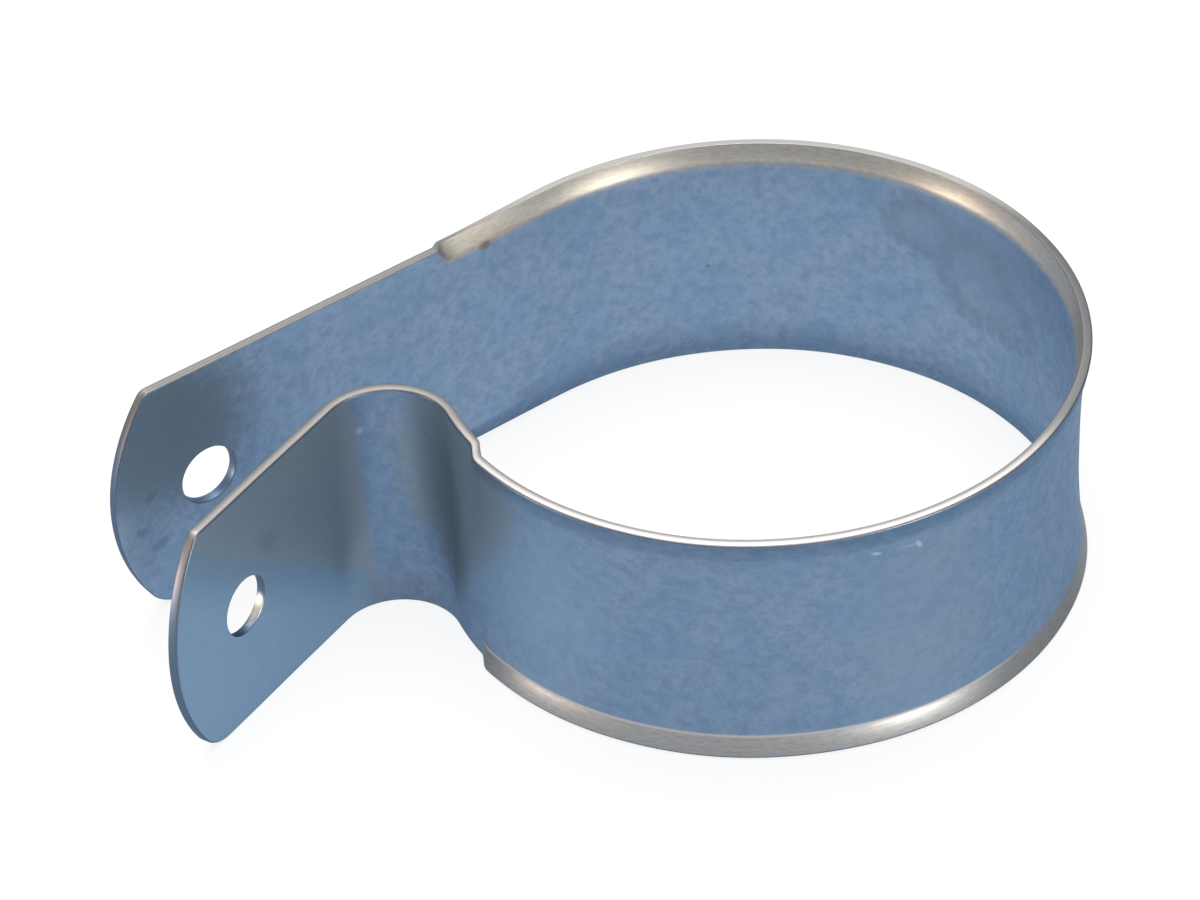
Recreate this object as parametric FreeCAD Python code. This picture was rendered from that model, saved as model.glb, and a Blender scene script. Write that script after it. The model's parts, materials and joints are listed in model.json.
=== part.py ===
import FreeCAD, Part
import math
import os

# Conduit strap: one steel strip folded into a loop with a straight leg and an offset leg.
# Millimetres. The origin is on the loop's axis, at the middle of the strip's width. +Z runs
# along that axis, and the straight leg leaves the loop at its +Y side and runs towards -X.

# The conduit and the sheet
conduit_diameter = 73.0
conduit_clearance = 0.1
sheet_thickness = 1.2
strip_width = 31.3

# Section of the loop: a narrow land, a long flare, a crease and a curled rim at each edge.
# The rim leans out by its angle at the crease and by its curl more at the tip.
land_width = 2.0
flare_depth = 0.58
crease_radius = 2.0
rim_width = 3.0
rim_angle = 8.5
rim_curl = 6.0

# Section at the rims' ends on the straight leg. Bending the loop drew its rims in and its flare
# out, so here the flare is nearly flat and the rims lean out further.
leg_flare_depth = 0.05
leg_rim_angle = 22.0

# Ends of the rims: their run along the straight leg, the plain band that is left before the
# offset bend, and the two stretches over which they flatten out
rim_run_on = 16.4
rim_stop = 5.9
leg_fade = 1.8
loop_fade = 3.2

# Legs
straight_leg_length = 65.75
loop_open_angle = 72.9
offset_bend_radius = 7.4
offset_bend_turn = 126.0
offset_ear_length = 31.9

# Ears and their bolt holes: the blank is cropped rounder at the lower corners than at the upper
ear_end_radius = 24.6
upper_corner_radius = 1.5
lower_corner_radius = 5.2
bolt_hole_diameter = 7.3
bolt_hole_inset = 13.25

# Values worked out from the sizes above
half_sheet = sheet_thickness / 2
half_width = strip_width / 2
half_land = land_width / 2
loop_radius = conduit_diameter / 2 + conduit_clearance + half_sheet
bend_radius = offset_bend_radius + half_sheet
crease_middle_radius = crease_radius + half_sheet
flare_height = half_width - rim_width - half_land
leg_angle = 90
loop_end_angle = leg_angle + loop_open_angle
plain_angle = loop_end_angle + math.degrees(rim_stop / loop_radius)
flared_angle = plain_angle + math.degrees(loop_fade / loop_radius)
ear_angle = loop_end_angle - 90 + offset_bend_turn

origin = FreeCAD.Vector(0, 0, 0)
upward = FreeCAD.Vector(0, 0, 1)

# The three forms of the section: depth of the flare and angle of the rim, or no flare at all
loop_form = (flare_depth, rim_angle)
leg_form = (leg_flare_depth, leg_rim_angle)
plain_form = None


def polar(radius, angle):
    """Point at a radius and an angle in degrees round the loop's axis."""
    turn = math.radians(angle)
    return FreeCAD.Vector(radius * math.cos(turn), radius * math.sin(turn), 0)


def middle_line(depth, lean):
    """Middle line of a flared section as (radius, height, slope), from the land to the tip.

    The flare, the crease and the curled rim are arcs in a row. Each adds a station at its middle
    and one at its end.
    """
    flare_radius = (flare_height**2 + depth**2) / (2 * depth)
    flare_slope = math.asin(flare_height / flare_radius)
    rim_slope = math.radians(lean)
    tip_slope = math.radians(lean + rim_curl)
    crease_length = crease_middle_radius * (rim_slope - flare_slope)
    curl_radius = (rim_width - crease_length) / (tip_slope - rim_slope)
    stations = [(loop_radius, half_land, 0.0)]
    arcs = [(flare_radius, flare_slope), (crease_middle_radius, rim_slope), (curl_radius, tip_slope)]
    for arc_radius, end in arcs:
        radius, height, start = stations[-1]
        for slope in ((start + end) / 2, end):
            stations.append((radius + arc_radius * (math.cos(start) - math.cos(slope)),
                             height + arc_radius * (math.sin(slope) - math.sin(start)), slope))
    return stations


def face_points(offset, form):
    """Upper half of one face of the section in the XZ plane, at an offset from the middle line."""
    stations = middle_line(*(form or loop_form))
    if form:
        return [FreeCAD.Vector(radius + offset * math.cos(slope), 0, height - offset * math.sin(slope))
                for radius, height, slope in stations]
    heights = [height for radius, height, slope in stations[:-1]] + [half_width]
    return [FreeCAD.Vector(loop_radius + offset, 0, height) for height in heights]


def face_edges(points, form):
    """Edges of the upper half of a face: the flare, the crease and the rim."""
    edges = []
    for start, through, end in zip(points[0::2], points[1::2], points[2::2]):
        curve = Part.Arc(start, through, end) if form else Part.LineSegment(start, end)
        edges.append(curve.toShape())
    return edges


def section_at(angle, form):
    """Closed outline of the strip's section in one of its forms, at an angle round the loop."""
    inner = face_points(-half_sheet, form)
    outer = face_points(half_sheet, form)
    upper = face_edges(inner, form) + face_edges(outer, form)
    upper.append(Part.makeLine(inner[-1], outer[-1]))
    lower = [edge.mirror(origin, upward) for edge in upper]
    lands = [Part.makeLine(points[0], points[0] - upward * land_width) for points in (inner, outer)]
    section = Part.Wire(Part.sortEdges(upper + lower + lands)[0])
    section.rotate(origin, upward, angle)
    return section


def ear_plate(length):
    """Flat leg along +X from the origin, with an arc end, rounded corners and a bolt hole."""
    corner = length - ear_end_radius + math.sqrt(ear_end_radius**2 - half_width**2)
    outline = [FreeCAD.Vector(corner, -half_sheet, half_width),
               FreeCAD.Vector(0, -half_sheet, half_width),
               FreeCAD.Vector(0, -half_sheet, -half_width),
               FreeCAD.Vector(corner, -half_sheet, -half_width)]
    tip = FreeCAD.Vector(length, -half_sheet, 0)
    edges = Part.makePolygon(outline).Edges
    edges.append(Part.Arc(outline[-1], tip, outline[0]).toShape())
    through = FreeCAD.Vector(0, sheet_thickness, 0)
    plate = Part.Face(Part.Wire(edges)).extrude(through)
    corner_radii = [(outline[0], upper_corner_radius), (outline[-1], lower_corner_radius)]
    for corner_point, corner_radius in corner_radii:
        middle = corner_point + through / 2
        corners = [edge for edge in plate.Edges if edge.CenterOfMass.distanceToPoint(middle) < half_sheet]
        plate = plate.makeFillet(corner_radius, corners)
    hole_start = FreeCAD.Vector(length - bolt_hole_inset, -sheet_thickness, 0)
    hole = Part.makeCylinder(bolt_hole_diameter / 2, 2 * sheet_thickness, hole_start, through)
    return plate.cut(hole)


def flared_loop():
    """The loop with its rims: its section turned about the axis."""
    section = Part.Face(section_at(leg_angle, loop_form))
    return section.revolve(origin, upward, flared_angle - leg_angle - 360)


def straight_leg():
    """The rims running on along the straight leg and flattening out, then the flat leg with its ear."""
    leg_start = FreeCAD.Vector(-rim_run_on - leg_fade, 0, 0)
    loop_section = section_at(leg_angle, loop_form)
    rim_section = section_at(leg_angle, leg_form)
    rim_section.translate(FreeCAD.Vector(-rim_run_on, 0, 0))
    plain_section = section_at(leg_angle, plain_form)
    plain_section.translate(leg_start)
    run_on = Part.makeLoft([loop_section, rim_section], True, True)
    fade = Part.makeLoft([rim_section, plain_section], True, True)
    plate = ear_plate(straight_leg_length - rim_run_on - leg_fade)
    plate.rotate(origin, upward, 180)
    plate.translate(leg_start + FreeCAD.Vector(0, loop_radius, 0))
    return [run_on, fade, plate]


def offset_leg():
    """The rims flattening out before the offset bend, the plain band, the bend and the flat ear."""
    flared_section = section_at(flared_angle, loop_form)
    plain_section = section_at(plain_angle, plain_form)
    fade = Part.makeLoft([flared_section, plain_section], True, True)
    band = Part.Face(plain_section).revolve(origin, upward, loop_end_angle - plain_angle)
    bend_centre = polar(loop_radius + bend_radius, loop_end_angle)
    bend = Part.Face(section_at(loop_end_angle, plain_form))
    bend = bend.revolve(bend_centre, upward, offset_bend_turn)
    plate = ear_plate(offset_ear_length)
    plate.rotate(origin, upward, ear_angle)
    plate.translate(bend_centre + polar(bend_radius, ear_angle - 90))
    return [fade, band, bend, plate]


def folded_strap():
    """All stretches of the strip joined into one solid."""
    joined = flared_loop().multiFuse(straight_leg() + offset_leg())
    (solid,) = joined.removeSplitter().Solids
    return solid


os.makedirs("parts", exist_ok=True)
strap = folded_strap()
strap.exportStep("parts/strap.step")
print("strap: valid", strap.isValid(), "faces", len(strap.Faces), "volume", round(strap.Volume, 1))
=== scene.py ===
# %% [markdown]
# # A conduit strap, folded from a flat blank
# The strap is one strip of zinc-plated steel that grips a conduit. A press shears the blank, punches
# a bolt hole near each end, rolls the two long rims outward and folds the strip into a loop with two
# legs. This lesson follows the same order: the blank is laid out flat as arrays of numbers, and one
# function folds it. The packed model is loaded first, because it fixes the place and the size.

# %% Load the frame
import json
import math

import bpy
import numpy as np
from mathutils import Matrix, Vector


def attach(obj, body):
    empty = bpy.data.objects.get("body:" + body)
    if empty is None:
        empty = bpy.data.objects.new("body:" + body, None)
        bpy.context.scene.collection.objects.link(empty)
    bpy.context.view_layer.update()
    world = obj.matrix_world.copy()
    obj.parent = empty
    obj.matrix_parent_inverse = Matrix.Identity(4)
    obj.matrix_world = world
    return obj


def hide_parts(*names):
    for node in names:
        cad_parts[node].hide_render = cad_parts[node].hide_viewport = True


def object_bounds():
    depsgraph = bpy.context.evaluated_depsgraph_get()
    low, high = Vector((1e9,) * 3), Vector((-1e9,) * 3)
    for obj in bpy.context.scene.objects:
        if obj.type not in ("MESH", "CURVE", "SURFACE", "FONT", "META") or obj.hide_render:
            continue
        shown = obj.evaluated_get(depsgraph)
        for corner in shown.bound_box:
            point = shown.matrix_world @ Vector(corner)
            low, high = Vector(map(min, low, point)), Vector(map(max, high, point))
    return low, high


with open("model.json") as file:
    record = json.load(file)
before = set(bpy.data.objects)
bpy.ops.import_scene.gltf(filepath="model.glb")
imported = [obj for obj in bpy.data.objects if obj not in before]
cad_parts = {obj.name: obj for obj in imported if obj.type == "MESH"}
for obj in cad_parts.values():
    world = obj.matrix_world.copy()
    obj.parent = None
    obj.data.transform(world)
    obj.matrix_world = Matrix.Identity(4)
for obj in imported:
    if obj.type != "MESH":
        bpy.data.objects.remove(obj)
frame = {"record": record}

MM = 0.001
cad_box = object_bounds()
print("CAD box in mm:", [[round(value / MM, 2) for value in corner] for corner in cad_box])

# %% [markdown]
# ## The camera
# The camera comes early, so that every later piece can be judged through it. The picture is a long
# lens look from above: a pinhole camera was fitted to the photograph, with the strap's own axis as
# the point that it turns about. Azimuth and elevation say where the camera stands, roll how it was
# held, and the two small offsets slide the strap within the picture.

# %% Camera
camera_azimuth = math.radians(-37.008)
camera_elevation = math.radians(38.167)
camera_roll = math.radians(-2.442)
camera_distance = 659.85 * MM
camera_right = -18.206 * MM
camera_up = -1.332 * MM
camera_lens = 169.01

camera = bpy.data.objects.new("camera", bpy.data.cameras.new("camera"))
bpy.context.scene.collection.objects.link(camera)
bpy.context.scene.camera = camera
camera.data.lens = camera_lens
stance = Matrix.Rotation(camera_azimuth, 3, "Z") @ Matrix.Rotation(math.pi / 2 - camera_elevation, 3, "X")
stance = stance @ Matrix.Rotation(camera_roll, 3, "Z")
camera.rotation_euler = stance.to_euler()
camera.location = stance @ Vector((camera_right, camera_up, camera_distance))
print("camera stands at", [round(value, 3) for value in camera.location])

# %% [markdown]
# ## Sizes of the strip
# The record already holds the sizes that matter to a stranger: the conduit's bore, the strip's width,
# and the radius and depth of the bolt holes, which is the thickness of the sheet. They are read from
# it. The lengths and turns of the folds are this strap's own, so they are written here once.

# %% Sizes of the strip
mounts = {mount["name"]: mount["dims"] for mount in frame["record"]["mounts"]}
hole_radius = mounts["straight_ear_hole"]["r_mm"] * MM
half_sheet = mounts["straight_ear_hole"]["length_mm"] * MM / 2
half_width = mounts["conduit"]["length_mm"] * MM / 2
loop_radius = mounts["conduit"]["r_mm"] * MM + half_sheet

straight_leg = 65.75 * MM
loop_turn = 287.1
bend_radius = 8.0 * MM
bend_turn = 126.0
offset_ear = 31.9 * MM

loop_start = straight_leg
loop_end = loop_start + loop_radius * math.radians(loop_turn)
bend_end = loop_end + bend_radius * math.radians(bend_turn)
strip_length = bend_end + offset_ear
print("the blank is", round(strip_length / MM, 1), "mm long and", round(2 * half_width / MM, 1), "mm wide")

# %% [markdown]
# ## The middle line, from tip to tip
# Seen along the conduit, the strap is a line: a straight leg, most of a circle, a tight bend the other
# way and a straight ear. Such a line can be drawn with arcs, but it is shorter to say how it turns. The
# direction that points out of the sheet stays, turns one way, turns back and stays again, and the line
# itself is the running sum of its direction.

# %% The middle line
def running_sum(rate, steps):
    """Adds up a rate over its steps by trapezia, starting from zero."""
    return np.concatenate([[0.0], np.cumsum((rate[1:] + rate[:-1]) / 2 * np.diff(steps))])


fold_marks = [0.0, loop_start, loop_end, bend_end]
fold_turns = np.radians([90.0, 90.0, 90.0 - loop_turn, 90.0 - loop_turn + bend_turn])
walk_points = 30001
walk = np.linspace(0.0, strip_length, walk_points)
walk_turn = np.interp(walk, fold_marks, fold_turns)
walk_x = running_sum(np.sin(walk_turn), walk) - straight_leg
walk_y = loop_radius - running_sum(np.cos(walk_turn), walk)


def middle_line(along):
    """Point of the middle line and its outward angle at a distance along the strip."""
    return np.interp(along, walk, walk_x), np.interp(along, walk, walk_y), np.interp(along, walk, walk_turn)


print("the offset ear ends at", np.round([walk_x[-1] / MM, walk_y[-1] / MM], 2), "mm")

# %% [markdown]
# ## The section across the strip
# Cut across, the loop isn't flat. A waist in the middle bears on the conduit, a long flare leads away from
# it, and past a crease each rim leans outward to stiffen the edge. The section is drawn as the line was:
# its slope is zero at the waist, grows slowly over the flare and quickly in the crease, and eases again to
# the tip. Its reach and height are running sums of the slope's sine and cosine. The straight leg was rolled
# but not bent. Its faces stayed flat and its rims steep, and bending the loop changed the one for the other.

# %% The flared section
half_land = 1.0 * MM
rim_start = 12.65 * MM
crease_radius = 2.6 * MM
climb_points = 4001

climb = np.linspace(0.0, half_width, climb_points)


def half_section(flare_slope, rim_slope, tip_slope):
    """Reach, height and slope from the middle of the strip to its edge, from three slopes in degrees.

    The slope goes in straight steps from mark to mark: the land, the flare, the crease and the rim.
    """
    crease_stop = rim_start + crease_radius * math.radians(rim_slope - flare_slope)
    marks = [0.0, half_land, rim_start, crease_stop, half_width]
    slope = np.radians(np.interp(climb, marks, [0.0, 0.0, flare_slope, rim_slope, tip_slope]))
    return running_sum(np.sin(slope), climb), running_sum(np.cos(slope), climb), slope


loop_slopes = (5.7, 20.0, 7.0)
leg_slopes = (0.5, 32.0, 26.0)
loop_section = half_section(*loop_slopes)
leg_section = half_section(*leg_slopes)
print("the rims stand out by", round(loop_section[0][-1] / MM, 2), "mm on the loop")

# %% [markdown]
# ## Where the rims start and stop
# The rims run a little way onto the straight leg, where a step in the rolling tool left an abrupt end, and
# they ease out before the offset bend. One share from 0 to 1 says how much of the flare the strip has, and
# another how far its section has gone over from the leg's form to the loop's. Both follow a smooth step,
# which has no kink at either end.

# %% Shares of the flare
leg_fade = 1.8 * MM
loop_fade = 3.2 * MM
rim_run_on = 16.4 * MM
rim_stop = 5.9 * MM
rim_slant = 0.5
rim_first = loop_start - rim_run_on - leg_fade
rim_last = loop_end - rim_stop


def smooth_step(share):
    """Step from 0 to 1 that starts and ends level: three times the square less twice the cube."""
    share = np.clip(share, 0.0, 1.0)
    return share * share * (3 - 2 * share)


def flared_section(along, across):
    """Reach away from the conduit, height and slope of the strip's section; the lower half mirrors."""
    side, far = np.sign(across), np.abs(across)
    leg_way = along - rim_first - rim_slant * (half_width - far)
    share = smooth_step(np.minimum(leg_way / leg_fade, (rim_last - along) / loop_fade))
    bent = smooth_step(1 + (along - loop_start) / rim_run_on)
    forms = [np.interp(far, climb, on_leg) * (1 - bent) + np.interp(far, climb, on_loop) * bent
             for on_leg, on_loop in zip(leg_section, loop_section)]
    return share * forms[0], across + side * share * (forms[1] - far), side * share * forms[2]


print("the rims run from", round(rim_first / MM, 1), "to", round(rim_last / MM, 1), "mm along the strip")

# %% [markdown]
# ## Folding
# A point of the blank has three numbers: along the strip, across it and through the sheet. Folding reads
# the middle line at along, the section at across, and leans the sheet's own normal by the section's slope
# before it steps through the thickness. Rolled sheet is never quite flat, so a swell of a few hundredths
# of a millimetre is added: it can't be seen as a shape, but it loosens the reflections.

# %% Fold the blank
sway_depth = 0.03 * MM
sway_along = 2 * math.pi / (23.0 * MM)
sway_across = 2 * math.pi / (17.0 * MM)
sway_slant = 1.0 / (17.4 * MM)


def fold(blank):
    """Carries points (along, across, through) of the flat blank onto the folded strap."""
    along, across, through = np.moveaxis(blank, -1, 0)
    x, y, outward = middle_line(along)
    reach, height, lean = flared_section(along, across)
    swell = sway_depth * np.sin(sway_along * along) * np.cos(sway_across * across + sway_slant * along)
    out = reach + through * np.cos(lean) + swell
    up = height - through * np.sin(lean)
    return np.stack([x + out * np.cos(outward), y + out * np.sin(outward), up], axis=-1)


tip_middles = fold(np.array([[0.0, 0.0, 0.0], [strip_length, 0.0, 0.0]]))
print("the ears' tips are", round(np.linalg.norm(tip_middles[1] - tip_middles[0]) / MM, 1), "mm apart")

# %% [markdown]
# ## The outline of an ear
# Each end of the blank is an ear: straight sides, a tight upper corner, a rounder lower one and a large
# arc round the tip. All of it can be written as a centre plus a radius times a normal, and the normal
# turns steadily from one side to the other. That gives the outward normal for free, which the rounded cut
# edge needs later.

# %% Outline of an ear
ear_patch = 28.9 * MM
hole_inset = 13.25 * MM
end_radius = 24.6 * MM
upper_corner = 1.5 * MM
lower_corner = 5.2 * MM
side_points, corner_points, end_points = 14, 10, 36


def half_outline(corner_radius):
    """Upper half of an ear's edge as points (inset from the tip, across) and outward normals.

    Point = centre + radius * normal. The side slides the corner's circle along the strip, the corner turns
    about one centre, and the arc turns about its own.
    """
    across = half_width - corner_radius
    meeting = math.asin(across / (end_radius - corner_radius))
    inset = end_radius - (end_radius - corner_radius) * math.cos(meeting)
    side = np.linspace(ear_patch, inset, side_points, endpoint=False)
    corner = np.linspace(math.pi / 2, meeting, corner_points, endpoint=False)
    arc = np.linspace(meeting, 0.0, end_points)
    turn = np.concatenate([np.full(side_points, math.pi / 2), corner, arc])
    centre_inset = np.concatenate([side, np.full(corner_points, inset), np.full(end_points, end_radius)])
    rounded = np.arange(len(turn)) < side_points + corner_points
    centre = np.stack([centre_inset, np.where(rounded, across, 0.0)], axis=-1)
    normal = np.stack([-np.cos(turn), np.sin(turn)], axis=-1)
    return centre + np.where(rounded, corner_radius, end_radius)[:, None] * normal, normal


upper_half = half_outline(upper_corner)
lower_half = [(part * np.array([1.0, -1.0]))[-2::-1] for part in half_outline(lower_corner)]
ear_points, ear_normals = [np.concatenate(parts) for parts in zip(upper_half, lower_half)]
tip_inset = ear_points[:, 0].min()
print("an ear's edge has", len(ear_points), "points and a tip at", round(tip_inset / MM, 3), "mm")

# %% [markdown]
# ## Cut edges
# Shears and punches leave an edge with a rounded shoulder where the blade enters and a sharper one where
# it leaves. An edge profile goes from the outer face round to the inner face as steps outward and through
# the sheet. The hole's profile also opens a little towards the inner face, where the slug broke out.

# %% Profiles of the cut edges
shoulder_radius = 0.24 * MM
burr_radius = 0.12 * MM
breakout = 0.10 * MM
shoulder_steps = 5


def cut_profile(entry, leaving, taper):
    """Steps (outward, through) over a cut edge: a quarter turn, a wall that may lean, a quarter turn."""
    turn = np.linspace(0.0, math.pi / 2, shoulder_steps + 1)
    first = np.stack([entry * (np.sin(turn) - 1), half_sheet - entry * (1 - np.cos(turn))], axis=-1)
    leaving_outward = leaving * (np.cos(turn) - 1) - taper
    leaving_through = leaving * (1 - np.sin(turn)) - half_sheet
    return np.concatenate([first, np.stack([leaving_outward, leaving_through], axis=-1)])


edge_profile = cut_profile(shoulder_radius, burr_radius, 0.0)
hole_profile = cut_profile(shoulder_radius / 2, burr_radius, breakout)
print("an edge is crossed in", len(edge_profile) - 1, "steps")

# %% [markdown]
# ## Stations along and across
# A grid needs its points where the shape changes. Along the strip they are close in the fades and bends
# and wide on the flats. Across it they gather at the crease and close to the cut edge, where an extra row
# keeps the smooth shading of the edge from spreading over the face.

# %% Stations
guard = 0.06 * MM
crease_end = rim_start + 1.0 * MM
flare_steps, crease_steps, rim_points = 14, 10, 7
along_counts = [14, 12, 16, 220, 16, 8, 56, 4]
along_marks = np.array([ear_patch, rim_first, rim_first + leg_fade, loop_start, rim_last - loop_fade,
                        rim_last, loop_end, bend_end, strip_length - ear_patch])
stretches = zip(along_marks[:-1], along_marks[1:], along_counts)
along_stations = np.concatenate([np.linspace(start, end, count, endpoint=False)
                                 for start, end, count in stretches] + [along_marks[-1:]])


def across_stations(inset):
    """Stations across one face, whose last row stops at an inset from the strip's edge."""
    half = np.concatenate([np.linspace(0.0, rim_start - guard, flare_steps, endpoint=False),
                           np.linspace(rim_start - guard, crease_end + guard, crease_steps, endpoint=False),
                           np.linspace(crease_end + guard, half_width - inset - guard, rim_points),
                           [half_width - inset]])
    return np.concatenate([-half[:0:-1], half])


print("stations:", len(along_stations), "along and", len(across_stations(burr_radius)), "across")

# %% [markdown]
# ## Grids of the blank
# The blank is a few grids that share their border points. Each face of the strip is one grid. Round each
# bolt hole the grid runs in rings, from the hole to the ear's outline and the strip's first row, so the
# hole stays truly round. Bands over the cut edges close the solid. Each grid notes whether its last row
# meets its first, and whether it was cut.

# %% Grids of the blank
from collections import namedtuple

Patch = namedtuple("Patch", ["points", "closed", "cut"])
hole_centre = np.array([hole_inset, 0.0])
ring_share = np.array([0.0, 0.01, 0.05, 0.13, 0.25, 0.4, 0.56, 0.72, 0.86, 0.95, 0.99, 1.0])


def at_depth(plan, through):
    """Adds the third number, through the sheet, to points (along, across)."""
    return np.concatenate([plan, np.broadcast_to(through, plan.shape[:-1])[..., None]], axis=-1)


def ear_border(inset):
    """Closed border of an ear's face: the strip's first row, then the outline moved in by an inset."""
    row = across_stations(inset)[:-1]
    seam = np.stack([np.full(len(row), ear_patch), row], axis=-1)
    return np.concatenate([seam, (ear_points - inset * ear_normals)[:-1]])


border = ear_border(0.0) - hole_centre
hole_normals = -border / np.linalg.norm(border, axis=-1, keepdims=True)


def ear_face(inset, hole_step, through):
    """Rings from the hole to the border: hole point + share * (border point - hole point)."""
    hole = hole_centre - (hole_radius - hole_step) * hole_normals
    rings = hole[:, None] + ring_share[:, None] * (ear_border(inset) - hole)[:, None]
    return Patch(at_depth(rings, through), True, False)


def edge_band(points, normals, profile, closed):
    """Band over a cut edge: border point + outward step * normal, at the profile's depth."""
    plan = points[:, None] + profile[:, :1] * normals[:, None]
    return Patch(at_depth(plan, profile[:, 1]), closed, True)


def strip_face(inset, through):
    """Grid over the strip between its ears: each station along with each station across."""
    plan = np.stack(np.meshgrid(along_stations, across_stations(inset), indexing="ij"), axis=-1)
    return Patch(at_depth(plan, through), False, False)


print("a hole's", len(ring_share), "rings have", len(border), "points each")

# %% [markdown]
# ## Laying out the blank
# The outer face lies at half the sheet's thickness and the inner face at minus that, each moved in by the
# first or last step of the edge's profile, so that the bands meet them. The lower edge mirrors the upper
# one, and the offset ear is the straight ear's layout turned end for end.

# %% Lay out the blank
def end_for_end(patch):
    """The same patch on the other end of the strip."""
    turned = patch.points * np.array([-1.0, 1.0, 1.0]) + np.array([strip_length, 0.0, 0.0])
    return patch._replace(points=turned)


ear_patches = [ear_face(-edge_profile[0, 0], hole_profile[0, 0], half_sheet),
               ear_face(-edge_profile[-1, 0], hole_profile[-1, 0], -half_sheet),
               edge_band(hole_centre - hole_radius * hole_normals, hole_normals, hole_profile, True),
               edge_band(ear_points, ear_normals, edge_profile, False)]
upper_edge = np.stack([along_stations, np.full(len(along_stations), half_width)], axis=-1)
upper_normals = np.broadcast_to([0.0, 1.0], upper_edge.shape)
upper_band = edge_band(upper_edge, upper_normals, edge_profile, False)
lower_band = upper_band._replace(points=upper_band.points * np.array([1.0, -1.0, 1.0]))
strip_patches = [strip_face(-edge_profile[0, 0], half_sheet), strip_face(-edge_profile[-1, 0], -half_sheet),
                 upper_band, lower_band]
patches = strip_patches + ear_patches + [end_for_end(patch) for patch in ear_patches]
print("the blank has", len(patches), "patches")

# %% [markdown]
# ## From patches to one mesh
# Neighbouring patches repeat their border points. Rounding the flat coordinates and keeping each one once
# welds them into a closed skin, all as arrays. Each vertex remembers its place on the blank and whether it
# lies on a cut edge, so that the finish can be painted on the flat sheet and folded with it.

# %% Weld the patches
weld_size = 0.0001 * MM


def grid_faces(rows, columns, first, closed):
    """Quads of a grid numbered row by row from first; a closed grid joins its last row to its first."""
    row = np.arange(rows if closed else rows - 1)[:, None]
    column = np.arange(columns - 1)
    here = row * columns + column
    there = (row + 1) % rows * columns + column
    return first + np.stack([here, here + 1, there + 1, there], axis=-1).reshape(-1, 4)


def cut_mark(patch):
    """One on the inside rows of a cut edge's band, zero elsewhere."""
    mark = np.zeros(patch.points.shape[:2])
    mark[:, 1:-1] = patch.cut
    return mark.ravel()


def weld(patches):
    """One list of vertices and quads, with each repeated point kept once, and a mark for cut edges."""
    starts = np.cumsum([0] + [patch.points[..., 0].size for patch in patches])
    points = np.concatenate([patch.points.reshape(-1, 3) for patch in patches])
    quads = np.concatenate([grid_faces(*patch.points.shape[:2], start, patch.closed)
                            for patch, start in zip(patches, starts)])
    cut = np.concatenate([cut_mark(patch) for patch in patches])
    first, place = np.unique(np.round(points / weld_size).astype(np.int64), axis=0,
                             return_index=True, return_inverse=True)[1:]
    return points[first], place.reshape(-1)[quads], cut[first]


blank_points, blank_quads, blank_cut = weld(patches)
print("welded to", len(blank_points), "vertices and", len(blank_quads), "quads")

# %% [markdown]
# ## The strap's mesh
# The folded points go into a mesh in one call, and Blender turns all faces outward. The strap rides on
# the part's one body and stands for the packed node of the same name, which keeps its collision,
# hidden.

# %% Make the strap
import bmesh


def make_mesh(name, points, quads):
    """Mesh from arrays, with its faces turned outward and shaded smooth."""
    mesh = bpy.data.meshes.new(name)
    mesh.from_pydata(points, [], quads.tolist())
    shell = bmesh.new()
    shell.from_mesh(mesh)
    bmesh.ops.recalc_face_normals(shell, faces=shell.faces)
    open_edges = sum(not edge.is_manifold for edge in shell.edges)
    volume = shell.calc_volume(signed=True)
    shell.to_mesh(mesh)
    shell.free()
    mesh.shade_smooth()
    print(name, "has", open_edges, "open edges and a volume of", round(volume / MM**3, 1), "cubic mm")
    return mesh


strap_mesh = make_mesh("folded_strap", fold(blank_points), blank_quads)
blank_place = strap_mesh.attributes.new("blank", "FLOAT_VECTOR", "POINT")
blank_place.data.foreach_set("vector", blank_points.astype(np.float32).ravel())
cut_edge = strap_mesh.attributes.new("cut_edge", "FLOAT", "POINT")
cut_edge.data.foreach_set("value", blank_cut.astype(np.float32))

strap = bpy.data.objects.new("folded_strap", strap_mesh)
bpy.context.scene.collection.objects.link(strap)
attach(strap, "root")
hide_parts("strap")

# %% [markdown]
# ## Drawing with nodes
# The finish, the floor and the sky are made of nodes. A small class keeps their code readable: each of its
# methods adds a node or a few to a material or world, fills their sockets with numbers or with other nodes'
# outputs, and gives back an output.

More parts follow.
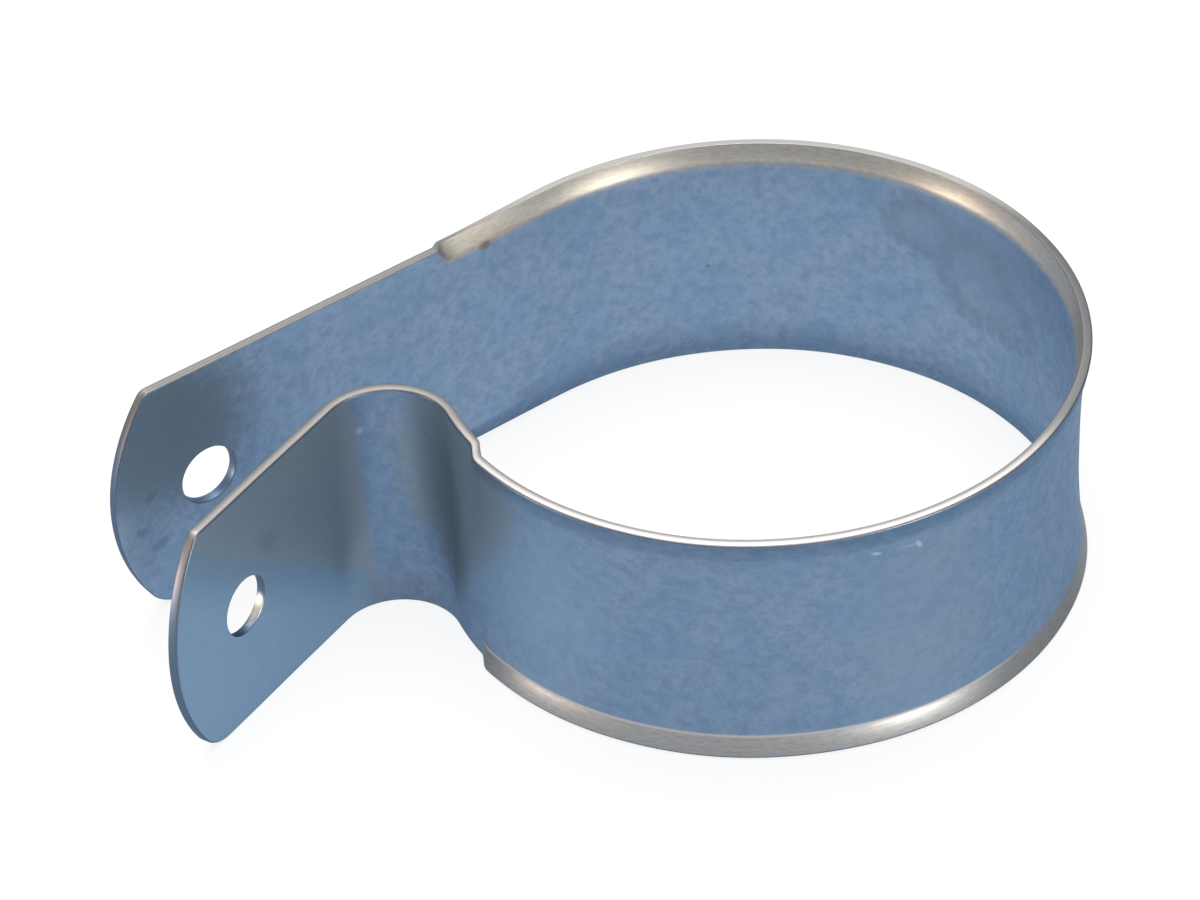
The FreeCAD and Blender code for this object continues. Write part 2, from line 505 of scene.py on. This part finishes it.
# %% Helpers for nodes
class Graph:
    """The nodes of one material or world."""

    def __init__(self, owner):
        owner.use_nodes = True
        self.tree = owner.node_tree

    def fill(self, socket, value):
        """Links an output to a socket, or sets its number or colour."""
        if isinstance(value, bpy.types.NodeSocket):
            self.tree.links.new(value, socket)
        else:
            socket.default_value = value

    def node(self, kind, options, sockets, output=0):
        """Adds a node with its options set and its sockets filled, and returns one of its outputs."""
        made = self.tree.nodes.new(kind)
        for name, value in options.items():
            setattr(made, name, value)
        for name, value in sockets.items():
            self.fill(made.inputs[name], value)
        return made.outputs[output]

    def calc(self, operation, first, second=0.0):
        """One sum on two numbers."""
        return self.node("ShaderNodeMath", {"operation": operation}, {0: first, 1: second})

    def product(self, first, *others):
        """All the numbers multiplied together."""
        for other in others:
            first = self.calc("MULTIPLY", first, other)
        return first

    def ramp(self, value, low, high, start=0.0, end=1.0):
        """Smooth step of a value from start at low to end at high."""
        return self.node("ShaderNodeMapRange", {"interpolation_type": "SMOOTHSTEP"},
                         {0: value, 1: low, 2: high, 3: start, 4: end})

    def window(self, value, start, full, fade, end):
        """One from full to fade, falling smoothly to zero at start and at end: two steps multiplied."""
        return self.product(self.ramp(value, start, full), self.ramp(value, end, fade))

    def noise(self, vector, size, detail=2.0, roughness=0.5):
        """Cloudy noise between 0 and 1 whose lumps have about the given size."""
        return self.node("ShaderNodeTexNoise", {}, {"Vector": vector, "Scale": 1.0 / size, "Detail": detail,
                                                    "Roughness": roughness})

    def tint(self, share, below, above):
        """Mix of two colours."""
        return self.node("ShaderNodeMix", {"data_type": "RGBA"}, {0: share, 6: below, 7: above}, 2)

    def blend(self, share, below, above):
        """Mix of two numbers."""
        return self.node("ShaderNodeMix", {"data_type": "FLOAT"}, {0: share, 2: below, 3: above})

    def times(self, vector, factors):
        """Coordinates or a colour times three numbers."""
        return self.node("ShaderNodeVectorMath", {"operation": "MULTIPLY"}, {0: vector, 1: factors})


print("a graph's methods are", [name for name in vars(Graph) if not name.startswith("_")])

# %% [markdown]
# ## What the finish knows
# A finish that varies has to know where on the strap it is. The place on the blank and the mark of a cut
# edge are attributes of the mesh, so the nodes can read them, and they stay with the sheet when it is
# folded. The surface's own normal adds one more number: how far it faces up.

# %% Places on the strap
finish = bpy.data.materials.new("blue_zinc_strap")
zinc = Graph(finish)
blank = zinc.node("ShaderNodeAttribute", {"attribute_name": "blank"}, {}, "Vector")
on_edge = zinc.node("ShaderNodeAttribute", {"attribute_name": "cut_edge"}, {}, "Fac")
along, across, through = zinc.node("ShaderNodeSeparateXYZ", {}, {0: blank}).node.outputs[:3]
facing = zinc.node("ShaderNodeTexCoord", {}, {}, "Normal")
upward = zinc.node("ShaderNodeSeparateXYZ", {}, {0: facing}, 2)
print("the finish starts with", len(zinc.tree.nodes), "nodes")

# %% [markdown]
# ## Blue zinc
# The plated faces are a satin blue-grey with a fine, cloudy mottle, a little warmer in broad patches, and
# faint marks drawn out along the strip by the rolls. The patterns are laid out on the flat blank, so they
# bend with the sheet. Squeezing the blank's first coordinate draws a pattern out along the strip.

# %% Blue zinc
zinc_blue = (0.150, 0.240, 0.368, 1.0)
zinc_lilac = (0.175, 0.250, 0.361, 1.0)
zinc_dark = (0.118, 0.196, 0.311, 1.0)
cloud_size = 9.0 * MM
cloud_steps = (0.38, 0.64)
mottle_size = 1.2 * MM
mottle_steps = (0.32, 0.72)
roll_size = 0.9 * MM
roll_squeeze = (0.06, 1.0, 1.0)
roll_steps = (0.50, 0.75)
roll_strength = 0.2

clouds = zinc.noise(blank, cloud_size)
mottle = zinc.noise(blank, mottle_size, 4.0, 0.65)
rolling = zinc.noise(zinc.times(blank, roll_squeeze), roll_size)
colour = zinc.tint(zinc.ramp(clouds, *cloud_steps), zinc_blue, zinc_lilac)
colour = zinc.tint(zinc.ramp(mottle, *mottle_steps), colour, zinc_dark)
colour = zinc.tint(zinc.product(zinc.ramp(rolling, *roll_steps), roll_strength), colour, zinc_lilac)
print("the mottle's lumps are about", round(mottle_size / MM, 1), "mm across")

# %% [markdown]
# ## Marks
# No used part is clean. Each mark is a soft ellipse on one face of the blank: the blank's coordinates are
# moved to its centre, turned and divided by its size, and their length is 1 on its border, which a little
# noise makes ragged. The third number, through the sheet, picks the face.

# %% Shape of a mark
OUTER, MIDDLE, INNER = 1.0, 0.0, -1.0
ragged_size = 1.1 * MM
ragged_reach = 0.9


def stray(size, reach):
    """Noise with lumps of a size, which strays by up to half its reach to either side of zero."""
    return zinc.product(zinc.calc("SUBTRACT", zinc.noise(blank, size, 3.0), 0.5), reach)


ragged = stray(ragged_size, ragged_reach)


def mark_shape(centre, face, size, turn=0.0, softness=0.3):
    """Mask of an ellipse on the blank, from its centre and half axes in mm and its turn in degrees."""
    place = (centre[0] * MM, centre[1] * MM, face * half_sheet)
    scale = (size[0] * MM, size[1] * MM, half_sheet)
    local = zinc.node("ShaderNodeMapping", {"vector_type": "TEXTURE"},
                      {"Vector": blank, "Location": place, "Rotation": (0.0, 0.0, math.radians(turn)),
                       "Scale": scale})
    away = zinc.node("ShaderNodeVectorMath", {"operation": "LENGTH"}, {0: local}, "Value")
    return zinc.ramp(zinc.calc("ADD", away, ragged), 1.0 + softness, 1.0 - softness)


def add_marks(colour, marks):
    """The colour with marks laid over it in turn, each a strength, a colour and a shape."""
    for strength, mark_colour, shape in marks:
        colour = zinc.tint(zinc.product(shape, strength), colour, mark_colour)
    return colour


print("a mark's border strays by up to", ragged_reach / 2, "of its size")

# %% [markdown]
# ## The offset ear
# The offset ear was pressed smooth, so it has less mottle than the rest and a different blue. Its upper part
# is painted grey down to a border that runs level as the strap lies, which is a slanting line on the blank.
# This grey is a painted reflection of the darker parts beside the ear. Below the border the blue grows
# paler.
# A strip of lilac marks where the flat begins. The distance past a slanting line draws both borders.

# %% Colours of the offset ear
painted_dark_grey = (0.182, 0.236, 0.288, 1.0)
ear_blue = (0.140, 0.226, 0.330, 1.0)
ear_pale = (0.184, 0.294, 0.424, 1.0)
ear_lilac = (0.185, 0.222, 0.285, 1.0)
ear_start = bend_end - 3.7 * MM
ear_slant = -0.07
ear_soft = 0.8 * MM
lilac_half = 1.4 * MM
ear_dark_start = bend_end + 9.65 * MM
ear_dark_slant = -4 / 3
ear_dark_soft = 2.13 * MM
pale_reach = 12.0 * MM


def past_line(place, slant):
    """Distance along the strip past a slanting line: along - place + slant * across."""
    return zinc.calc("ADD", zinc.calc("SUBTRACT", along, place), zinc.product(across, slant))


outside = zinc.ramp(through, 0.0, half_sheet)
past_start = past_line(ear_start, ear_slant)
past_ear_dark = past_line(ear_dark_start, ear_dark_slant)
ear_colour = zinc.tint(zinc.ramp(past_ear_dark, 0.0, pale_reach), ear_blue, ear_pale)
# Painted reflection: the grey above the level border stands for darker parts mirrored in the ear.
ear_colour = zinc.tint(zinc.ramp(past_ear_dark, ear_dark_soft, -ear_dark_soft), ear_colour, painted_dark_grey)
on_ear = zinc.product(zinc.ramp(past_start, -ear_soft, ear_soft), outside)
on_start = zinc.product(zinc.window(past_start, -lilac_half, 0.0, 0.0, lilac_half), outside)
colour = add_marks(colour, [(0.80, ear_colour, on_ear), (0.60, ear_lilac, on_start)])
print("the offset ear's own blue starts at", round(ear_start / MM, 1), "mm along the strip")

# %% [markdown]
# ## Painted shade in the hollows
# Painted shade darkens the hollow of the offset bend, where a grey patch runs onto the loop and the deepest
# line is nearly black, the upper corner of the straight ear's inner face, and the lower edge of the bend.
# The grey patch has a slanting border, so it narrows downward to a point. The loop beside it is a paler
# blue.

# %% Painted shade in the hollows
painted_shade_dark = (0.103, 0.140, 0.166, 1.0)
pale_blue = (0.190, 0.300, 0.440, 1.0)
hollow = loop_end / MM - 1.7
crown = (loop_end + bend_end) / 2 / MM
hollow_slant = 0.67
# Painted shade: the grey patch and the nearly black line in the bend's hollow, the straight ear's corner and
# the bend's lower edge.
hollow_border = zinc.ramp(past_line(loop_end, hollow_slant), -11.5 * MM, -5.5 * MM)
hollow_patch = mark_shape((hollow - 1.5, 6.5), OUTER, (12.0, 15.0), 0.0, 0.2)
hollow_grey = zinc.product(hollow_patch, hollow_border)
hollow_dark = mark_shape((hollow + 2.6, 1.5), OUTER, (3.4, 12.5), -9.0, 0.6)
beside_hollow = mark_shape((hollow - 14.0, 0.0), OUTER, (9.0, 12.0), 0.0, 0.7)
ear_corner = mark_shape((8.0, 8.0), INNER, (11.0, 9.5), 0.0, 0.4)
crown_low = mark_shape((crown, -14.5), OUTER, (6.0, 2.6), 0.0, 0.6)
shade_and_pale_places = [(0.5, pale_blue, beside_hollow),
               (0.85, painted_dark_grey, hollow_grey),
               (0.55, painted_shade_dark, hollow_dark),
               (0.75, painted_shade_dark, ear_corner),
               (0.28, painted_shade_dark, crown_low)]
colour = add_marks(colour, shade_and_pale_places)
print("the strap is worn or paler in", len(shade_and_pale_places), "places")

# %% [markdown]
# ## A dried stain
# Water has dried on the inner face of the loop. Its patch has three lobes, joined by taking the larger of
# their masks. A mask times one minus itself is greatest halfway through its border, which gives the dark
# line that a drying drop leaves. Between the stain and the rim the blue is a shade deeper.

# %% Stain
under_rim_blue = (0.112, 0.180, 0.285, 1.0)
stain_lilac = (0.128, 0.182, 0.262, 1.0)
stain_line = (0.088, 0.122, 0.176, 1.0)
lobes = [mark_shape((113.2, 7.8), INNER, (4.4, 3.4), 0.0, 0.45),
         mark_shape((121.6, 3.8), INNER, (5.2, 5.4), 0.0, 0.45),
         mark_shape((127.8, 1.4), INNER, (5.2, 3.2), 0.0, 0.55)]
stain = zinc.calc("MAXIMUM", zinc.calc("MAXIMUM", lobes[0], lobes[1]), lobes[2])
stain_border = zinc.product(stain, zinc.calc("SUBTRACT", 1.0, stain))
# A patch of deeper blue between the stain and the rim.
under_rim_patch = mark_shape((125.0, 9.5), INNER, (14.0, 6.0), 0.0, 0.6)
colour = add_marks(colour, [(0.60, under_rim_blue, under_rim_patch),
                            (0.30, stain_lilac, stain),
                            (1.2, stain_line, stain_border)])
print("the stain has", len(lobes), "lobes")

# %% [markdown]
# ## Small marks
# Last come the scratches, blotches and flecks. Each is a strength, a colour and a shape in one list, so a
# mark can be moved or taken out without touching the rest.

# %% Small marks
pressed_lilac = (0.165, 0.228, 0.318, 1.0)
scratch_pale = (0.40, 0.43, 0.45, 1.0)
blotch_dark = (0.080, 0.120, 0.180, 1.0)
fleck = (strip_length / MM - 36.0, 10.4)
smear = (strip_length / MM - 18.0, 6.0)
small_marks = [(0.35, pressed_lilac, mark_shape((189.0, 0.0), OUTER, (8.3, 13.5), 0.0, 0.25)),
               (0.7, scratch_pale, mark_shape((194.9, 11.7), OUTER, (0.60, 0.22), 20.0, 0.6)),
               (0.7, scratch_pale, mark_shape((189.8, 11.25), OUTER, (0.60, 0.28), 60.0, 0.6)),
               (0.25, scratch_pale, mark_shape((190.9, 11.4), OUTER, (1.2, 0.18), 8.0, 0.8)),
               (0.3, blotch_dark, mark_shape((3.6, -5.5), INNER, (2.2, 3.6), 0.0, 0.6)),
               (0.6, blotch_dark, mark_shape((3.4, -3.6), INNER, (0.8, 0.6), 0.0, 0.5)),
               (0.6, blotch_dark, mark_shape((5.2, 0.9), INNER, (0.9, 0.6), 30.0, 0.5)),
               (0.5, blotch_dark, mark_shape((5.6, -6.5), INNER, (1.3, 0.7), 20.0, 0.5)),
               (0.6, blotch_dark, mark_shape((85.6, -1.4), INNER, (0.35, 0.30))),
               (0.5, blotch_dark, mark_shape((67.6, -3.3), INNER, (0.80, 0.16))),
               (0.3, blotch_dark, mark_shape(smear, OUTER, (2.0, 1.2), 40.0, 0.7)),
               (0.4, scratch_pale, mark_shape(fleck, OUTER, (0.5, 0.45), 0.0, 0.6))]
colour = add_marks(colour, small_marks)
print("the faces carry", len(small_marks), "small marks")

# %% [markdown]
# ## Inside and outside
# The inner face gets painted light: it is lighter and a little greyer than the outer one, so its colour is
# multiplied by a little more in red than in blue.

# %% Inside and outside
inner_painted_light = (1.39, 1.33, 1.275)
inside = zinc.ramp(through, 0.5 * half_sheet, -0.5 * half_sheet)
# Painted light: the inner face is made lighter.
colour = zinc.tint(inside, colour, zinc.times(colour, inner_painted_light))
print("the inner face is lighter by factors of", inner_painted_light)

# %% [markdown]
# ## Where the rims face up and down
# Where a rim leans up, the blue gives way to silver, a painted reflection of the bright sky on the upturned
# flank. The place across the strip says where a rim begins, and a little noise makes that border wander. The
# upward part of the surface's normal says which of the rim's flanks leans up and where the rim ends. The
# other flank, which leans down, keeps its blue and is darkened with painted shade.

# %% Painted reflection and shade on the rims
lean_steps = (0.03, 0.12)
droop_steps = (-0.03, -0.09)
wander_size = 2.5 * MM
wander_reach = 0.6 * MM
from_middle = zinc.calc("ABSOLUTE", across)
wandering = zinc.calc("ADD", from_middle, stray(wander_size, wander_reach))
on_rim = zinc.ramp(wandering, rim_start - 0.5 * MM, rim_start + 0.8 * MM)
leaning_up = zinc.ramp(upward, *lean_steps)
# Painted reflection: silver where the rim faces up.
rim_facing_up = zinc.product(on_rim, leaning_up)
# Painted shade: the rim's flank that leans down grows darker towards the strip's edge.
down_flank_start = zinc.blend(inside, rim_start - 0.8 * MM, rim_start - 4.5 * MM)
down_flank_shade = zinc.product(zinc.ramp(from_middle, down_flank_start, half_width), zinc.ramp(upward, *droop_steps))
print("the rims are rubbed from about", round(rim_start / MM, 2), "mm off the strip's middle")

# %% [markdown]
# ## Silver of the rims
# The rims' silver is finely streaked along the strip. Inside the loop it is lighter and warmer than outside,
# which is painted light. Painted shade darkens it at both ends of the rims and at the right-hand side of the
# loop, and a painted highlight makes it paler at the right end of the far rim. Each shade is a mask with
# three factors, by which the colour is multiplied.

# %% Silver of the rims
silver_outer = (0.268, 0.278, 0.290, 1.0)
silver_inner = (0.430, 0.410, 0.370, 1.0)
streak_dark = (0.84, 0.84, 0.84)
rim_shade_factors = (0.70, 0.71, 0.71)
highlight_factors = (1.28, 1.30, 1.34)
streak_size = 0.30 * MM
streak_squeeze = (0.25, 1.0, 1.0)
streak_steps = (0.35, 0.70)
shaded_stretch = (152.0, 165.0, 177.0, 186.0)
highlight_stretch = (120.0, 130.0, 140.0, 150.0)


def on_stretch(places):
    """Mask of a stretch of the strip, which starts, is full, fades and ends at four places in mm."""
    return zinc.window(along, *[place * MM for place in places])


streaks = zinc.noise(zinc.times(blank, streak_squeeze), streak_size, 3.0)
shaded_ends = zinc.calc("ADD", zinc.ramp(along, rim_first + 4.0 * MM, rim_first),
                      zinc.ramp(along, rim_last - 9.0 * MM, rim_last - 2.0 * MM, 0.0, 0.8))
# Painted shade on the dull stretch and the rims' ends, and a painted highlight at the far rim's right end.
shades = [(zinc.ramp(streaks, *streak_steps), streak_dark),
          (zinc.calc("ADD", on_stretch(shaded_stretch), shaded_ends), rim_shade_factors),
          (zinc.product(on_stretch(highlight_stretch), inside), highlight_factors)]
# Painted light: the silver inside the loop is lighter and warmer.
rim_silver = zinc.tint(inside, silver_outer, silver_inner)
for share, factors in shades:
    rim_silver = zinc.tint(share, rim_silver, zinc.times(rim_silver, factors))
print("the bare zinc has", len(shades), "shades")

# %% [markdown]
# ## Rims over the blue
# Painted shade darkens the blue on the flanks that lean down, and the silver covers it where the rims face
# up.
# Two small things lie on the border: a painted highlight along the crease of the near rim, and a speck of
# rust on the straight leg.

# %% Lay the rims over the blue
down_flank_dark = (0.68, 0.72, 0.76)
crease_highlight = (0.46, 0.44, 0.43, 1.0)
rust_brown = (0.190, 0.150, 0.122, 1.0)
line_steps = (-0.1, 0.15, 0.3, 0.6)
crease_line = zinc.window(from_middle, *[rim_start + step * MM for step in line_steps])
near_side = zinc.product(outside, zinc.ramp(along, 172.0 * MM, 182.0 * MM))
rust = mark_shape((54.9, 12.9), INNER, (0.95, 0.38), 0.0, 0.5)
# Painted highlight: a pale line along the crease of the near rim.
border_marks = [(0.6, crease_highlight, zinc.product(crease_line, leaning_up, near_side)),
                (0.8, rust_brown, rust)]
# Painted shade on the flanks that lean down.
colour = zinc.tint(down_flank_shade, colour, zinc.times(colour, down_flank_dark))
# Painted reflection: the silver covers the blue where the rims face up.
colour = zinc.tint(rim_facing_up, colour, rim_silver)
colour = add_marks(colour, border_marks)
print("the rims' border carries", len(border_marks), "marks")

# %% [markdown]
# ## Metal of the cut edges
# The middle of a sheared edge is bare, and it is the brightest part of the strap, above all round the loop.
# Its two shoulders are darkened with painted shade, so each edge is a bright line between two dark ones.
# The right-hand side of the loop is duller and the far side lighter. The number through the sheet tells the
# middle from the shoulders, and the number along the strip tells one side of the loop from another.

# %% Metal of the cut edges
burnished = (0.38, 0.370, 0.365, 1.0)
leg_burnished = (0.27, 0.265, 0.26, 1.0)
side_burnished = (0.158, 0.166, 0.172, 1.0)
far_burnished = (0.58, 0.57, 0.55, 1.0)
shoulder_shade = (0.185, 0.178, 0.178, 1.0)
shoulder_shade_violet = (0.105, 0.103, 0.125, 1.0)
side_stretch = (122.0, 134.0, 164.0, 176.0)
far_stretch = (rim_first / MM, rim_first / MM + 8.0, 116.0, 128.0)
far_strengths = (0.2, 0.75)
core_steps = (-0.75, 0.20, 0.40, 0.90)

on_loop = zinc.window(along, rim_first, loop_start, rim_last, loop_end)
edge_core = zinc.window(through, *[step * half_sheet for step in core_steps])
# Painted shade on both shoulders of each cut edge.
shoulders = zinc.tint(outside, shoulder_shade, shoulder_shade_violet)
far_share = zinc.ramp(through, -half_sheet, -0.5 * half_sheet, *far_strengths)
edge_metal = zinc.tint(on_loop, leg_burnished, burnished)
edge_metal = zinc.tint(on_stretch(side_stretch), edge_metal, side_burnished)
edge_metal = zinc.tint(edge_core, shoulders, edge_metal)
edge_metal = add_marks(edge_metal, [(far_share, far_burnished, on_stretch(far_stretch))])
print("the far edge is lighter from", round(far_stretch[0], 1), "to", far_stretch[-1], "mm along the strip")

# %% [markdown]
# ## Painted shade on the cut edges
# Only edges that face up keep their bright metal. Those that face sideways or down and the walls of the
# holes, which lie near the strip's middle, are dark with painted shade, but for one painted highlight. Where
# the ears' arcs begin to lean up, the painted shade is brownish. The upward part of the normal tells these
# places apart.

# %% Painted shade on the cut edges
edge_shade_blue = (0.088, 0.130, 0.196, 1.0)
arc_shade_brown = (0.098, 0.098, 0.110, 1.0)
hole_highlight = (0.50, 0.46, 0.42, 1.0)
edge_up_steps = (0.40, 0.90)
arc_up_steps = (0.15, 0.55)
hole_highlight_place = ((strip_length - hole_inset) / MM - 2.6, -2.4)
off_holes = zinc.ramp(from_middle, 4.0 * MM, 7.0 * MM)
edge_up = zinc.product(zinc.ramp(upward, *edge_up_steps), off_holes)
arc_up = zinc.product(zinc.ramp(upward, *arc_up_steps), off_holes)
# Painted highlight on one side of the offset ear's hole wall.
spot = mark_shape(hole_highlight_place, MIDDLE, (1.7, 1.5), 0.0, 0.5)
# Painted shade on edges that face sideways or down and on the holes' walls.
edge_colour = zinc.tint(edge_up, zinc.tint(arc_up, edge_shade_blue, arc_shade_brown), edge_metal)
edge_colour = add_marks(edge_colour, [(0.9, hole_highlight, spot)])
colour = zinc.tint(on_edge, colour, edge_colour)
print("the bare spot is at", [round(value, 1) for value in hole_highlight_place], "mm on the blank")

# %% [markdown]
# ## Shine
# The numbers that are the same everywhere go straight onto the shader. A cut edge is all mirror, an upturned
# rim mostly, and the blue film is half mirror and half haze. Roughness follows the mottle, and a very low
# bump breaks the reflections into the fine grain of plated sheet.

# %% Shader
grain_height = 0.003 * MM
film_mirror = 0.45
rim_mirror = 0.75
film_rough = (0.34, 0.40)
film_steps = (0.3, 0.7)
silver_rough = 0.40
glancing_tint = (0.55, 0.62, 0.70, 1.0)
shader = zinc.tree.nodes["Principled BSDF"]
mirror = zinc.blend(on_edge, zinc.blend(rim_facing_up, film_mirror, rim_mirror), 1.0)
silver_share = zinc.calc("MAXIMUM", rim_facing_up, on_edge)
rough = zinc.blend(silver_share, zinc.ramp(mottle, *film_steps, *film_rough), silver_rough)
grain = zinc.node("ShaderNodeBump", {}, {"Strength": 1.0, "Distance": grain_height, "Height": mottle})
zinc.fill(shader.inputs["Base Color"], colour)
zinc.fill(shader.inputs["Metallic"], mirror)
zinc.fill(shader.inputs["Roughness"], rough)
zinc.fill(shader.inputs["Specular IOR Level"], 0.0)
zinc.fill(shader.inputs["Specular Tint"], glancing_tint)
zinc.fill(shader.inputs["Normal"], grain)
strap_mesh.materials.append(finish)
print("the finish has", len(zinc.tree.nodes), "nodes")

# %% [markdown]
# ## Floor
# The strap lies on a plain floor, one large square at the height of the packed part's lowest point. It is
# part of the stage and not of the strap.

# %% Floor
floor_reach = 4.0
floor_height = cad_box[0].z
corners = np.array([[-1, -1, 0], [1, -1, 0], [1, 1, 0], [-1, 1, 0]]) * floor_reach
floor_mesh = bpy.data.meshes.new("floor")
floor_mesh.from_pydata(corners + [0.0, 0.0, floor_height], [], [[0, 1, 2, 3]])
floor = bpy.data.objects.new("floor", floor_mesh)
bpy.context.scene.collection.objects.link(floor)
print("the floor lies at a height of", round(floor_height / MM, 2), "mm")

# %% [markdown]
# ## White of the floor
# The floor is white. Camera and mirror rays see it mostly as a glowing white, so that the background stays
# white, and the rest is lit, so that the strap's shadow stays on it. More light would whiten it too, but it
# would also wash out the strap.

# %% White of the floor
floor_glow = 0.82
floor_paint = (0.86, 0.86, 0.86, 1.0)


def seen_directly(graph):
    """One for camera, glossy and transmission rays, zero for the rays that carry soft light."""
    rays = graph.node("ShaderNodeLightPath", {}, {}).node.outputs
    mirrored = graph.calc("MAXIMUM", rays["Is Glossy Ray"], rays["Is Transmission Ray"])
    return graph.calc("MAXIMUM", rays["Is Camera Ray"], mirrored)


floor_material = bpy.data.materials.new("white_floor")
floor_graph = Graph(floor_material)
glow_share = floor_graph.product(seen_directly(floor_graph), floor_glow)
floor_matt = floor_graph.node("ShaderNodeBsdfDiffuse", {}, {"Color": floor_paint})
floor_white = floor_graph.node("ShaderNodeEmission", {}, {"Strength": 1.0})
floor_look = floor_graph.node("ShaderNodeMixShader", {}, {0: glow_share, 1: floor_matt, 2: floor_white})
floor_graph.fill(floor_graph.tree.nodes["Material Output"].inputs["Surface"], floor_look)
floor_mesh.materials.append(floor_material)
print("the floor glows by a share of", floor_glow)

# %% [markdown]
# ## Sky
# The sky around is a plain, slightly warm white. Seen directly it has a strength of 1, as the floor's glow
# has, and as soft light it is weaker and only fills the shadows.

# %% Sky
sky_fill = 0.60
sky_colour = (1.0, 0.97, 0.93, 1.0)
world = bpy.data.worlds.new("studio")
bpy.context.scene.world = world
sky_graph = Graph(world)
sky = sky_graph.tree.nodes["Background"]
sky_graph.fill(sky.inputs["Color"], sky_colour)
sky_graph.fill(sky.inputs["Strength"], sky_graph.ramp(seen_directly(sky_graph), 0.0, 1.0, sky_fill, 1.0))
print("the sky fills the shadows with a strength of", sky_fill)

# %% [markdown]
# ## Lamps
# A studio has large soft lights, here one behind the strap and one in front of it, and a smaller one at
# each side. The side lights stand low, where the curled rims mirror them, and each draws a bright patch on
# the near rim and one on the far rim. They are hidden from soft light, so they add highlights alone.

# %% Lamps
large_size = (0.8, 0.6)
large_distance = 0.9
small_size = (0.12, 0.085)
small_distance = 0.8
side_elevation = 2.3
left_warm = (1.0, 0.80, 0.62)
right_warm = (1.0, 0.93, 0.82)


def soft_light(name, azimuth, elevation, distance, size, power, colour=(1.0, 1.0, 1.0)):
    """Rectangular lamp that faces the strap from an azimuth off the camera's side and an elevation."""
    lamp = bpy.data.lights.new(name, "AREA")
    lamp.shape = "RECTANGLE"
    lamp.size, lamp.size_y = size
    lamp.energy = power
    lamp.color = colour
    turn = camera_azimuth + math.radians(azimuth)
    lift = math.radians(elevation)
    place = Vector((math.sin(turn) * math.cos(lift), -math.cos(turn) * math.cos(lift), math.sin(lift)))
    light = bpy.data.objects.new(name, lamp)
    light.location = place * distance
    light.rotation_euler = place.to_track_quat("Z", "Y").to_euler()
    bpy.context.scene.collection.objects.link(light)
    return light


soft_light("back_light", 180.0, 70.0, large_distance, large_size, 6.0)
soft_light("front_light", 0.0, 60.0, large_distance, large_size, 5.0)
side_lights = [soft_light("left_light", -72.5, side_elevation, small_distance, small_size, 3.0, left_warm),
               soft_light("right_light", 45.0, side_elevation, small_distance, small_size, 5.2, right_warm)]
for side_light in side_lights:
    side_light.visible_diffuse = False
bpy.context.scene.view_settings.view_transform = "Standard"
print("highlights come from", [side_light.name for side_light in side_lights])
